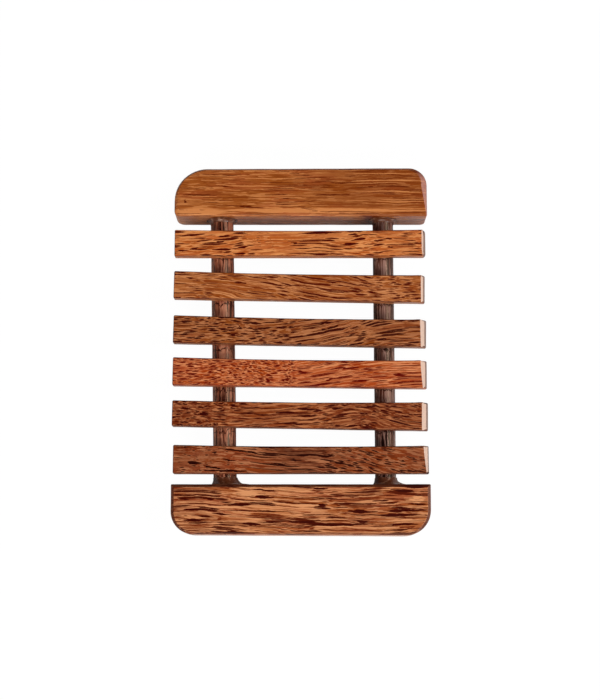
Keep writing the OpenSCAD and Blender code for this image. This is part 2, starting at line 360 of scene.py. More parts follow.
# Fibre bundles: dark strands that run through the wood from end to end. The face of a piece cuts them
# at a slant, so each shows as a long lens, and the steeper the slant the shorter the lens. Inside is 1
# at the middle of a bundle and 0 at its rim.
bundle_seed_steps = (("X", "Across", 13.7), ("Y", "Depth", 7.3))
bundle_roundness = 1.3
girth_range = (0.2, 0.42)
least_girth = 0.001
darkness_range = (0.75, 1)
core_edge = (0.02, 0.14)
rim_edge = (-0.06, 0.06)
halo_edge = (-0.9, -0.2)
bundles, ask, give = new_group("fibre bundles", [
    ("Across", "Float", 0), ("Depth", "Float", 0), ("Spacing", "Float", 1), ("Girth", "Float", 1),
    ("Share", "Float", 1), ("Seed", "Float", 0)], [("Core", "Float"), ("Rim", "Float"), ("Halo", "Float")])
cut = put(bundles, "CombineXYZ", {
    axis: calc(bundles, "MULTIPLY_ADD", ask["Seed"], step, calc(
        bundles, "DIVIDE", ask[way], ask["Spacing"])) for axis, way, step in bundle_seed_steps})
cell = put(bundles, "TexVoronoi", {
    "Vector": cut.outputs[0], "Scale": 1, "Exponent": bundle_roundness, "Randomness": 1},
           voronoi_dimensions="2D", distance="MINKOWSKI")
chance = put(bundles, "SeparateColor", {"Color": cell.outputs["Color"]}).outputs
radius = calc(bundles, "MAXIMUM", least_girth, calc(
    bundles, "MULTIPLY", spread(bundles, chance["Red"], 0, 1, *girth_range, soft=False), ask["Girth"]))
inside = calc(bundles, "SUBTRACT", 1, calc(bundles, "DIVIDE", cell.outputs["Distance"], radius))
present = calc(bundles, "LESS_THAN", chance["Green"], ask["Share"])
darkness = spread(bundles, chance["Blue"], 0, 1, *darkness_range, soft=False)
strength = calc(bundles, "MULTIPLY", darkness, present)
rim = spread(bundles, inside, *rim_edge)
halo = calc(bundles, "MULTIPLY", spread(bundles, inside, *halo_edge), calc(bundles, "SUBTRACT", 1, rim))
bundles.links.new(calc(bundles, "MULTIPLY", spread(bundles, inside, *core_edge), strength), give["Core"])
bundles.links.new(calc(bundles, "MULTIPLY", rim, strength), give["Rim"])
bundles.links.new(calc(bundles, "MULTIPLY", halo, present), give["Halo"])

# Lone strand: one bold bundle that shows as a pointed lens. Marked is 1 at its middle and 0 at its rim,
# and the grain wander group makes the edges of such marks as ragged as the grain.
point_bluntness = 1.4
lens_fall_along = 2.64
lens_fall_across = 2
lone_strand, ask, give = new_group("lone strand", [
    ("Place", "Vector", (0, 0, 0)), ("X", "Float", 0), ("Y", "Float", 0), ("Length", "Float", 1),
    ("Width", "Float", 1), ("Climb", "Float", 0)], [("Marked", "Float")])
part = put(lone_strand, "SeparateXYZ", {"Vector": ask["Place"]}).outputs
on_x = calc(lone_strand, "SUBTRACT", part["X"], ask["X"])
on_y = calc(lone_strand, "SUBTRACT", calc(lone_strand, "SUBTRACT", part["Y"], ask["Y"]),
            calc(lone_strand, "MULTIPLY", on_x, ask["Climb"]))
far_x = calc(lone_strand, "POWER", calc(
    lone_strand, "ABSOLUTE", calc(lone_strand, "DIVIDE", on_x, ask["Length"])), point_bluntness)
far_y = calc(lone_strand, "ABSOLUTE", calc(lone_strand, "DIVIDE", on_y, ask["Width"]))
near_middle = calc(lone_strand, "MULTIPLY_ADD", far_x, -lens_fall_along, 1)
lone_strand.links.new(calc(lone_strand, "SUBTRACT", near_middle, calc(
    lone_strand, "MULTIPLY", far_y, lens_fall_across)), give["Marked"])

# Grain wander: moves a place a little along the grain and less across it, in noise that is drawn out
# along the grain.
wander_scale = (0.4, 1.6, 1.6)
wander_reach = (5, 0.7, 0)
wander_seed_step = (31, 17, 0)
noise_middle = 0.5
wander, ask, give = new_group("grain wander", [("Place", "Vector", (0, 0, 0)), ("Seed", "Float", 0)],
                              [("Place", "Vector")])
ripple = put(wander, "TexNoise", {"Scale": 1, "Detail": 3, "Vector": vector_calc(
    wander, "MULTIPLY_ADD", ask["Place"], wander_scale, vector_calc(
        wander, "MULTIPLY", wander_seed_step, ask["Seed"]))}).outputs["Color"]
wander.links.new(vector_calc(wander, "MULTIPLY_ADD", vector_calc(
    wander, "SUBTRACT", ripple, (noise_middle,) * 3), wander_reach, ask["Place"]), give["Place"])

# Palm wood: soft orange ground with fine lines, redder patches of painted sheen and pale strands,
# crossed by two sizes of dark bundles. Places are in millimetres with the grain along X.
noise_seed_step = {"X": 91, "Y": 37, "Z": 53}
slow_sway_reach = 3
quick_sway_reach = 0.45
broad_edge = (0.35, 0.65)
painted_sheen_edge = (0.45, 0.65)
fine_line_edge = (0.52, 0.56)
pale_line_edge = (0.55, 0.58)
fine_reach = (0.3, 0.7)
broad_light_share = 0.45
pale_line_share = 0.75
halo_share = 0.5
faded_share = 0.9
minor_core_share = 0.7
faded_edge = (-0.3, 0.3)
marked_rim_edge = (-0.08, 0.08)
marked_core_edge = (0.04, 0.2)
lacquer_roughness = (0.26, 0.32)
fine_line_height = 0.5
palm_wood, ask, give = new_group("palm wood", [
    ("Place", "Vector", (0, 0, 0)), ("Light", "Color", (1, 1, 1, 1)), ("Ground", "Color", (1, 1, 1, 1)),
    ("Painted Sheen", "Color", (1, 1, 1, 1)), ("Brown", "Color", (1, 1, 1, 1)), ("Dark", "Color", (1, 1, 1, 1)),
    ("Spacing", "Float", 1.2), ("Girth", "Float", 1), ("Fine Girth", "Float", 1), ("Share", "Float", 1),
    ("Pale Share", "Float", 0.5), ("Dive", "Float", 0), ("Climb", "Float", 0), ("Wave", "Float", 1),
    ("Painted Sheen Share", "Float", 0.3), ("Line Depth", "Float", 0.5), ("Shade", "Float", 0),
    ("Marked", "Float", -1), ("Faded", "Float", -1), ("Seed", "Float", 0)],
    [("Color", "Color"), ("Roughness", "Float"), ("Height", "Float")])
part = put(palm_wood, "SeparateXYZ", {"Vector": ask["Place"]}).outputs
seed_shift = put(palm_wood, "CombineXYZ", {
    axis: calc(palm_wood, "MULTIPLY", ask["Seed"], step)
    for axis, step in noise_seed_step.items()}).outputs[0]


def wood_noise(place, scale, detail, output="Fac", rough=0.5):
    """Noise drawn out along the grain, at a scale per millimetre along X, Y and Z."""
    scaled = vector_calc(palm_wood, "MULTIPLY", vector_calc(palm_wood, "ADD", place, seed_shift), scale)
    return put(palm_wood, "TexNoise", {"Vector": scaled, "Scale": 1, "Detail": detail,
                                       "Roughness": rough}).outputs[output]


def sway(scale, detail, reach):
    """Two independent sideways wanderings of the grain, across the face and into it."""
    noise = wood_noise(ask["Place"], scale, detail, output="Color")
    two = put(palm_wood, "SeparateColor", {"Color": noise}).outputs
    return [calc(palm_wood, "MULTIPLY", calc(palm_wood, "SUBTRACT", two[channel], noise_middle), reach)
            for channel in ("Red", "Green")]


def strands(spacing_share, girth, share, slant_share, seed_step):
    """One size of bundles in this wood, and how steeply the face cuts them."""
    return place_group(palm_wood, bundles, {
        "Across": across, "Depth": calc(palm_wood, "MULTIPLY", depth, slant_share), "Girth": girth,
        "Share": share, "Spacing": calc(palm_wood, "MULTIPLY", ask["Spacing"], spacing_share),
        "Seed": calc(palm_wood, "ADD", ask["Seed"], seed_step)})


slow_across, slow_depth = sway(scale=(0.045, 0.13, 0.13), detail=1, reach=calc(
    palm_wood, "MULTIPLY", ask["Wave"], slow_sway_reach))
quick_across, quick_depth = sway(scale=(0.3, 1, 1), detail=2, reach=quick_sway_reach)
across = calc(palm_wood, "ADD", calc(palm_wood, "ADD", calc(
    palm_wood, "SUBTRACT", part["Y"], ask["Climb"]), slow_across), quick_across)
depth = calc(palm_wood, "ADD", calc(palm_wood, "ADD", calc(
    palm_wood, "ADD", part["Z"], ask["Dive"]), slow_depth), quick_depth)
grain = put(palm_wood, "CombineXYZ", {"X": part["X"], "Y": across, "Z": depth}).outputs[0]
broad = wood_noise(grain, scale=(0.04, 0.25, 0.25), detail=2)
painted_sheen = wood_noise(grain, scale=(0.05, 0.2, 0.2), detail=3)
fine = wood_noise(grain, scale=(0.09, 1.7, 1.7), detail=3, rough=0.6)
pale_line = wood_noise(grain, scale=(0.1, 1.3, 1.3), detail=2, rough=0.6)
pale = strands(spacing_share=0.7, girth=0.9, share=ask["Pale Share"], slant_share=0.5, seed_step=9)
minor = strands(spacing_share=0.6, girth=ask["Fine Girth"], share=0.6, slant_share=0.5, seed_step=5)
major = strands(spacing_share=1, girth=ask["Girth"], share=ask["Share"], slant_share=1, seed_step=0)
# Each layer over the ones before it: where it shows, and its colour
color_layers = [
    (spread(palm_wood, broad, *broad_edge, 0, broad_light_share), "Light"),
    # Random patches of painted sheen
    (calc(palm_wood, "MULTIPLY", spread(palm_wood, painted_sheen, *painted_sheen_edge), ask["Painted Sheen Share"]), "Painted Sheen"),
    (calc(palm_wood, "MULTIPLY", spread(palm_wood, fine, *fine_line_edge), ask["Line Depth"]), "Brown"),
    (spread(palm_wood, pale_line, *pale_line_edge, 0, pale_line_share), "Light"),
    (ask["Shade"], "Brown"), (calc(palm_wood, "MULTIPLY", major["Halo"], halo_share), "Light"),
    (pale["Rim"], "Light"), (spread(palm_wood, ask["Faded"], *faded_edge, 0, faded_share), "Light"),
    (minor["Rim"], "Brown"), (calc(palm_wood, "MULTIPLY", minor["Core"], minor_core_share), "Dark"),
    (major["Rim"], "Brown"), (major["Core"], "Dark"),
    (spread(palm_wood, ask["Marked"], *marked_rim_edge), "Brown"),
    (spread(palm_wood, ask["Marked"], *marked_core_edge), "Dark")]
color = ask["Ground"]
for mask, tone_name in color_layers:
    color = blend(palm_wood, mask, color, ask[tone_name])
palm_wood.links.new(color, give["Color"])
palm_wood.links.new(spread(palm_wood, fine, *fine_reach, *lacquer_roughness), give["Roughness"])
palm_wood.links.new(calc(palm_wood, "SUBTRACT", calc(
    palm_wood, "MULTIPLY", fine, fine_line_height), major["Rim"]), give["Height"])


def paint(code):
    """A colour written as on a paint card, as the shader takes it."""
    parts = [int(code[k:k + 2], 16) / 255 for k in (1, 3, 5)]
    return [c / 12.92 if c <= 0.04045 else ((c + 0.055) / 1.055) ** 2.4 for c in parts] + [1]


def wood_cut(light, ground, painted_sheen, brown, dark, spacing, share, pale_share, wave, painted_sheen_share, line_depth,
             seed):
    """The settings of one piece's cut of wood, as the wood's node group names them."""
    return {"Light": paint(light), "Ground": paint(ground), "Painted Sheen": paint(painted_sheen), "Brown": paint(brown),
            "Dark": paint(dark), "Spacing": spacing, "Share": share, "Pale Share": pale_share, "Wave": wave,
            "Painted Sheen Share": painted_sheen_share, "Line Depth": line_depth, "Seed": seed}


curve_half_length = 45


def curve_along(tree, place, stops, scale=1):
    """A value that changes smoothly from a piece's left end to its right, from (share, value) pairs
    times a scale."""
    x = put(tree, "SeparateXYZ", {"Vector": place}).outputs["X"]
    ramp = put(tree, "ValToRGB", {
        "Fac": spread(tree, x, -curve_half_length, curve_half_length, soft=False)})
    ramp.color_ramp.interpolation = "CARDINAL"
    while len(ramp.color_ramp.elements) < len(stops):
        ramp.color_ramp.elements.new(0.5)
    for element, (at, value) in zip(ramp.color_ramp.elements, stops):
        element.position = at
        element.color = (value, value, value, 1)
    return calc(tree, "MULTIPLY", ramp.outputs["Color"], scale)


def lay_strands(tree, place, listed):
    """The mask of a piece's listed strands, each given as the x and y of its middle, length and width
    in millimetres, and climb."""
    marked = -1
    for x, y, length, width, rise in listed:
        strand = place_group(tree, lone_strand, {
            "Place": place, "X": x, "Y": y, "Length": length, "Width": width, "Climb": rise})["Marked"]
        marked = calc(tree, "MAXIMUM", marked, strand)
    return marked


shade_stops = (0.1, 0.3, 0.5, 0.7, 0.9)
end_softness = 0.1
end_grain_and_shade_softness = 0.06
end_grain_and_shade_share = 0.75
arris_shade_tips = (0.15, 0.4)
side_tips = (0.93, 0.99)
pore_strength = 0.15
pore_depth = 0.1 * mm
lacquer_specular = 0.35
lacquer_tint = (1, 0.75, 0.5, 1)


def finish_in_wood(piece, name, centre, grain_turn, wood, girths, fine_girths, dive, climb, shades, ends,
                   bold=(), faded=()):
    """Give a piece its own cut of palm wood under a thin satin lacquer.

    The curves run along the piece: how stout its large and fine bundles are, how far they have dived
    and climbed, and how browned it is at the shade stops. ends gives the right end's tone, on the slats
    and blocks a painted glint, its share and the lean of the face where it starts, the lean where either
    end turns dark and the dark tone, partly end grain and partly painted shade, and how much painted shade
    darkens the back and front arrises. bold and faded list dark and pale marks: strands, glue lines and
    some painted shade and highlight. A lean or tip is the share of a face's normal that points along or
    across the grain."""
    material = bpy.data.materials.new(name)
    material.use_nodes = True
    tree = material.node_tree
    tree.nodes.clear()
    coordinates = put(tree, "TexCoord").outputs["Object"]
    centred = put(tree, "Mapping", {"Vector": coordinates, "Location": -centre})
    place = put(tree, "Mapping", {"Vector": centred.outputs[0], "Rotation": (0, 0, grain_turn),
                                  "Scale": (1 / mm, 1 / mm, 1 / mm)}).outputs[0]
    ragged = place_group(tree, wander, {"Place": place, "Seed": wood["Seed"]})["Place"]
    look = place_group(tree, palm_wood, {
        "Place": place, "Girth": curve_along(tree, place, girths),
        "Fine Girth": curve_along(tree, place, fine_girths), "Dive": curve_along(tree, place, *dive),
        "Climb": curve_along(tree, place, *climb),
        "Shade": curve_along(tree, place, list(zip(shade_stops, shades))),
        "Marked": lay_strands(tree, ragged, bold), "Faded": lay_strands(tree, ragged, faded), **wood})
    facing = put(tree, "NewGeometry").outputs["Normal"]
    along_grain = (math.cos(grain_turn), -math.sin(grain_turn), 0)
    across_grain = (math.sin(grain_turn), math.cos(grain_turn), 0)
    lean = put(tree, "VectorMath", {0: facing, 1: along_grain}, operation="DOT_PRODUCT").outputs["Value"]
    tip = put(tree, "VectorMath", {0: facing, 1: across_grain}, operation="DOT_PRODUCT").outputs["Value"]
    # The right end is painted pale as a glint on the slats and blocks; on the dowels' hidden back ends the
    # same mask lays their dark end tone.
    painted_end_glint = spread(tree, lean, ends["lean"], ends["lean"] + end_softness, 0, ends["share"])
    tone = blend(tree, painted_end_glint, look["Color"], paint(ends["tone"]))
    # Both ends turn dark where they fall steeply: partly end grain, partly painted shade where they face
    # away from the light.
    dark_end_grain_and_shade = spread(tree, calc(tree, "ABSOLUTE", lean), ends["dark_lean"],
                      ends["dark_lean"] + end_grain_and_shade_softness, 0, end_grain_and_shade_share)
    tone = blend(tree, dark_end_grain_and_shade, tone, paint(ends["dark_tone"]))
    # Painted shade: the long arrises that turn away from the top are darkened toward the Dark colour.
    for share, side in ((ends["back_arris_shade"], tip), (ends["front_arris_shade"], calc(tree, "MULTIPLY", tip, -1))):
        painted_arris_shade = spread(tree, side, *arris_shade_tips, 0, share)
        off_side = spread(tree, side, *side_tips, 1, 0)
        tone = blend(tree, calc(tree, "MULTIPLY", painted_arris_shade, off_side), tone, wood["Dark"])
    bump = put(tree, "Bump", {"Height": look["Height"], "Strength": pore_strength, "Distance": pore_depth})
    lacquer = put(tree, "BsdfPrincipled", {
        "Base Color": tone, "Roughness": look["Roughness"], "Specular IOR Level": lacquer_specular,
        "Specular Tint": lacquer_tint, "Normal": bump.outputs[0]})
    put(tree, "OutputMaterial", {"Surface": lacquer.outputs[0]})
    piece.data.materials.clear()
    piece.data.materials.append(material)


back_board = end_block("back_end_block", "back_board", side=1, taper=0.4 * mm,
                       corner_r=(11.6 * mm, 6.4 * mm, 1.8 * mm, 0.6 * mm), end_bevels=(1.3 * mm, 2.3 * mm),
                       inner_right_share=0.35, shoulder=3.2 * mm)
back_block_centre = Vector((0, 56.6, 7.5)) * mm
back_block_wood = wood_cut(
    "#cd824a", "#9f531f", "#a04a26", "#742b00", "#5c1800",
    spacing=1, share=0.5, pale_share=0.35, wave=0.5, painted_sheen_share=0.6, line_depth=0.5, seed=1)
# The pale end tone is a painted glint on the right bevel; the dark end tone is partly end grain and partly
# painted shade, and the arris shares are painted shade.
back_block_end_glint_and_shade = {"tone": "#b8847c", "share": 0.65, "lean": 0.25, "dark_lean": 0.8, "dark_tone": "#5a3a30",
                   "back_arris_shade": 0.6, "front_arris_shade": 0}
pin_hole = (-41, -3.6, 1.1, 1.3, 0)
# Dark strands; the last two, at y -10, are painted shade on the inner face round the dowels.
back_block_bold_and_shade = [
    pin_hole, (-36, -1.3, 14, 0.6, 0), (-19.2, -5.6, 14, 0.6, -0.07), (-26.8, 1.8, 6.3, 0.5, -0.09),
    (15.8, 3.2, 12, 0.5, -0.02), (10.5, -1.2, 17.6, 0.5, 0), (25.4, -10, 18, 3, 0),
    (-28.1, -10, 12, 2.4, 0)]
# Pale strands; the two along the shoulder, at y -7.3 and -6.9, are a painted highlight where the shoulder
# faces the front light.
back_block_faded_and_highlight = [
    (-36, -7.3, 22, 3.2, 0), (-13.9, -2.7, 12, 0.7, 0), (8, -6.9, 84, 1.8, 0), (-25.4, 5.8, 17, 0.6, 0)]
finish_in_wood(
    back_board, "back block palm wood", back_block_centre, grain_turn=0, wood=back_block_wood,
    girths=[(0, 0.4), (1, 0.6)], fine_girths=[(0, 0.6), (1, 0.7)], dive=([(0, 0), (1, 1)], 3),
    climb=([(0, 0), (1, 1)], 0), shades=(0, 0, 0.06, 0.48, 0.5), ends=back_block_end_glint_and_shade,
    bold=back_block_bold_and_shade, faded=back_block_faded_and_highlight)
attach(back_board, "root")
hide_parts("back_end_block")

# Front end block. It is the same board turned round, with two nearly alike rounded corners toward the
# user. Its bevels are narrower and its inner corners almost square.
front_board = end_block("front_end_block", "front_board", side=-1, taper=0.4 * mm,
                        corner_r=(8 * mm, 8.8 * mm, 0.4 * mm, 0.4 * mm), end_bevels=(1.2 * mm, 1.2 * mm),
                        inner_right_share=1, shoulder=1.1 * mm)
front_block_centre = Vector((0, -56.6, 7.5)) * mm
front_block_wood = wood_cut(
    "#e09a69", "#a75829", "#ab583a", "#661a00", "#3a0200",
    spacing=0.9, share=0.75, pale_share=0.6, wave=0.9, painted_sheen_share=0.6, line_depth=0.9, seed=2)
# The pale end tone is a painted glint on the right bevel; the dark end tone is partly end grain and partly
# painted shade, and the arris shares are painted shade.
front_block_end_glint_and_shade = {"tone": "#a87868", "share": 0.5, "lean": 0.25, "dark_lean": 0.4, "dark_tone": "#4a1810",
                    "back_arris_shade": 0.8, "front_arris_shade": 0.4}
front_block_bold = [
    (39.6, 8.1, 12, 1.8, 0), (-21, 1.7, 10.6, 1.17, 0), (-36.6, 0, 12.7, 0.78, 0.02),
    (-15.1, -0.5, 28.9, 0.47, -0.02), (-12.8, 6.7, 9.5, 0.7, -0.11), (-13.1, 4.3, 7.4, 1.17, -0.11),
    (-31.8, 3.6, 4.6, 0.94, -0.05), (-37.3, -3.7, 7.4, 1.09, 0), (-17.5, -5, 8.1, 1.09, -0.05),
    (-24.1, -7.9, 12.7, 0.94, 0), (-9.9, -4.3, 12, 0.62, 0.02), (6.3, 7.2, 5.3, 0.94, -0.07),
    (7.7, 1.6, 3.9, 0.94, -0.05), (20.5, -0.7, 8.8, 1.48, -0.03), (30.2, -2.2, 11.6, 0.78, -0.05),
    (1.1, -4.3, 12, 0.94, -0.03), (21.5, -4.3, 5.3, 0.78, 0), (36.1, 6.4, 8.5, 1.17, -0.03),
    (35.2, -5.1, 13.4, 0.8, 0), (-40.5, 3.6, 5.3, 0.78, 0), (36.3, -0.3, 17, 0.9, -0.01),
    (40.5, 1.8, 8.5, 0.8, 0), (35.2, -1.8, 17.6, 0.9, 0), (11.7, -5.2, 26.7, 1.1, 0)]
front_block_faded = [
    (-35.6, 4.5, 1.8, 1.6, 0), (40.3, 3.6, 5.6, 3.2, 0), (37.4, -3.7, 12, 1, 0),
    (-18.3, 5.3, 12, 2.2, -0.07), (1.8, 1.3, 11.3, 1.6, 0), (-27.3, 0.9, 16.2, 0.8, 0),
    (10.1, -5.7, 14.1, 1.1, 0)]
finish_in_wood(
    front_board, "front block palm wood", front_block_centre, grain_turn=0, wood=front_block_wood,
    girths=[(0, 1.1), (0.4, 0.85), (0.7, 1.1), (1, 1.2)], fine_girths=[(0, 1.1), (1, 1.2)],
    dive=([(0, 0), (0.3, 0.35), (0.6, 0.6), (1, 1)], 3.6),
    climb=([(0, 1), (0.15, 0.95), (0.45, 0.3), (0.6, 0.1), (1, 0)], 3), shades=(0.4, 0, 0.06, 0.25, 0.15),
    ends=front_block_end_glint_and_shade, bold=front_block_bold, faded=front_block_faded)
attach(front_board, "root")
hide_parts("front_end_block")

# Dowels. Two round rods of dark palm wood run from block to block, glued into blind sockets, and
# carry the slats; the left one is a little thicker and neither lies quite square.
dowel_chamfer = 0.8 * mm
dowel_arris_angle = 40
dowel_colors = {"left_dowel": ("#bc7c60", "#7e381f", "#8c4632", "#300804"),
                "right_dowel": ("#9c786c", "#4e2417", "#5a3025", "#1e0606")}
dowel_faded = {"left_dowel": [(-16, -1.5, 11, 2.6, 0), (14.6, -0.5, 10, 1.6, 0), (-1, 0.5, 9, 1.8, 0)],
               "right_dowel": [(31, -0.3, 11, 1, 0), (-31, -0.6, 14, 2.6, 0), (-1, -0.5, 9, 1.6, 0)]}
dowel_ends = {"tone": "#46261a", "share": 0.5, "lean": 0.5, "dark_lean": 0.7, "dark_tone": "#2c100a",
              "back_arris_shade": 0, "front_arris_shade": 0}
dowel_brown = "#4a1e14"
end_face = 0.5
glue_and_shadow_line_w = 0.6
glue_and_shadow_line_out = 0.2
glue_and_shadow_line_span_share = 3
slat_fronts = [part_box(f"slat_{number}")[0].y for number in range(1, 7)]

for node, turn in dowel_turns.items():
    low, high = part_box(node)
    dowel_d = high.z - low.z
    dowel_l = ((high - low).y - dowel_d * math.sin(turn)) / math.cos(turn)
    bpy.ops.object.select_all(action="DESELECT")
    bpy.ops.mesh.primitive_cylinder_add(vertices=dowel_sides, radius=dowel_d / 2, depth=dowel_l,
                                        location=(low + high) / 2, rotation=(math.pi / 2, 0, turn))
    rod = bench(node.replace("dowel", "rod"))
    pick("FACE", lambda f: abs(f.normal.y) > end_face)
    bpy.ops.mesh.bevel(offset=dowel_chamfer, segments=3, affect="EDGES")
    cut_rows(1, low.y + dowel_chamfer, high.y - dowel_chamfer, row_step)
    bpy.ops.object.mode_set(mode="OBJECT")
    rub_by_hand(rod, swell_depth, swell_size)
    smooth(rod, dowel_arris_angle)
    light, ground, painted_sheen, dark = dowel_colors[node]
    dowel_wood = wood_cut(
        light, ground, painted_sheen, dowel_brown, dark,
        spacing=1.1, share=0.7, pale_share=0.7, wave=0.5, painted_sheen_share=0.7, line_depth=0.8, seed=3 + turn)
    # A thin dark line across the rod in front of each slat: partly glue, partly painted shadow cast by the
    # slat
    rod_middle = (low.y + high.y) / 2
    glue_and_shadow_line_span = glue_and_shadow_line_span_share * dowel_d / mm
    glue_and_shadow_lines = [((front - rod_middle) / mm - glue_and_shadow_line_out, 0, glue_and_shadow_line_w, glue_and_shadow_line_span, 0)
                  for front in slat_fronts]
    finish_in_wood(
        rod, f"{node} palm wood", (low + high) / 2, grain_turn=-math.pi / 2 - turn, wood=dowel_wood,
        girths=[(0, 1), (1, 1)], fine_girths=[(0, 0.8), (1, 0.8)], dive=([(0, 0), (1, 1)], 3),
        climb=([(0, 0), (1, 1)], 0), shades=(0, 0, 0, 0, 0), ends=dowel_ends, bold=glue_and_shadow_lines,
        faded=dowel_faded[node])
    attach(rod, "root")
    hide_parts(node)

# Slats. Six flat strips of palm wood lie across the dowels, each coved to seat on them and glued.
# Their edges are rubbed over by hand, a little hollow behind, and each right end has its own facet.
slat_edge = 0.4 * mm
left_corner_r = 0.5 * mm
facet_slope = math.radians(38)
facet_arris = 0.1 * mm
same_plane = 0.9999
waist = 0.45 * mm
# From the back slat to the front: turns and facet slants in degrees, and the rest in millimetres
slat_turns = [0.05, -0.98, -1, -0.72, -0.71, -0.12]
tapers = [0, 0, 0, 0, 0.85, -0.3]
right_corner_r = [1.1, 0.5, 0.5, 0.5, 0.5, 0.35]
facet_widths = [1.5, 1.6, 2.3, 2.1, 2.4, 1.5]
facet_slants = [0, 0.6, 2.4, 5.4, 0, 6.6]
facet_outer_arrises = [1, 0.9, 1, 0.9, 1, 0.6]
# The colours of each slat, and then how its bundles, patches and lines are laid
slat_woods = [
    wood_cut("#e5975a", "#bb5d23", "#c26232", "#7a1c00", "#460000", 1, 0.9, 0.4, 1, 0.4, 0.4, 11),
    wood_cut("#d28b58", "#9a4e1a", "#aa5a2c", "#742200", "#4b0400", 0.85, 0.85, 0.6, 1, 0.4, 0.6, 12),
    wood_cut("#c07d51", "#8d4719", "#974c2a", "#601000", "#320000", 0.9, 0.95, 0.5, 1, 0.5, 0.5, 13),
    wood_cut("#e08f5e", "#ac4612", "#b5502a", "#821600", "#5c0200", 0.75, 0.9, 0.5, 0.8, 0.5, 0.5, 14),
    wood_cut("#c27a4e", "#8a4018", "#944828", "#590e00", "#380000", 0.85, 0.9, 0.55, 1.5, 0.5, 0.6, 15),
    wood_cut("#b3714c", "#8a3b14", "#8e4228", "#430900", "#260000", 1, 0.85, 0.4, 1, 0.5, 0.4, 16),
]
# Along each slat: how stout its large and fine bundles are, and how far they dive and climb
slat_curves = [
    ([(0, 1.05), (0.28, 1.1), (0.35, 0.3), (0.44, 0.3), (0.52, 1), (0.65, 1.1), (1, 1)],
     [(0, 0.7), (0.28, 0.7), (0.36, 0.3), (0.44, 0.3), (0.55, 0.65), (1, 0.7)],
     ([(0, 0), (0.35, 0.43), (0.62, 0.53), (1, 1)], 8),
     ([(0, 0), (0.1, 0.12), (0.26, 0.6), (0.34, 0.8), (1, 1)], 2)),
    ([(0, 0.75), (0.35, 0.85), (0.5, 1.15), (0.75, 1.05), (1, 0.95)], [(0, 0.7), (0.4, 0.8), (1, 0.9)],
     ([(0, 0), (0.5, 0.4), (0.7, 0.5), (1, 1)], 7),
     ([(0, 0), (0.1, 0.03), (0.25, 0.25), (0.5, 0.58), (0.7, 0.85), (0.85, 0.96), (1, 1)], -9)),
    ([(0, 1.2), (0.5, 1.15), (1, 1.1)], [(0, 0.9), (1, 0.9)],
     ([(0, 0), (0.45, 0.63), (0.7, 0.74), (1, 1)], 11),
     ([(0, 0), (0.42, 0.02), (0.5, 0.1), (0.6, 0.32), (0.7, 0.58), (0.85, 0.85), (1, 1)], 9)),
    ([(0, 1.1), (0.6, 1.1), (1, 1)], [(0, 1), (1, 0.9)],
     ([(0, 0), (0.45, 0.78), (0.6, 0.87), (1, 1)], 13.5),
     ([(0, 0), (0.45, 0.02), (0.6, 0.35), (0.8, 0.8), (1, 1)], 5.5)),
    ([(0, 0.95), (0.3, 0.9), (1, 1)], [(0, 1), (1, 1)],
     ([(0, 0), (0.27, 0.45), (0.6, 0.55), (1, 1)], 13),
     ([(0, 0.3), (0.3, 0.35), (0.6, 1), (0.75, 0.85), (1, 0)], 2.5)),
    ([(0, 0.5), (0.25, 0.5), (0.36, 0.8), (0.5, 1.1), (0.62, 1), (0.72, 0.8), (1, 0.7)],
     [(0, 0.3), (0.3, 0.4), (0.65, 0.8), (0.72, 1.2), (1, 1.2)],
     ([(0, 0), (0.25, 0.37), (0.62, 0.48), (1, 1)], 12),
     ([(0, 0), (0.2, 0.02), (0.35, 0.17), (0.65, 0.38), (0.8, 0.68), (1, 1)], -10)),
]
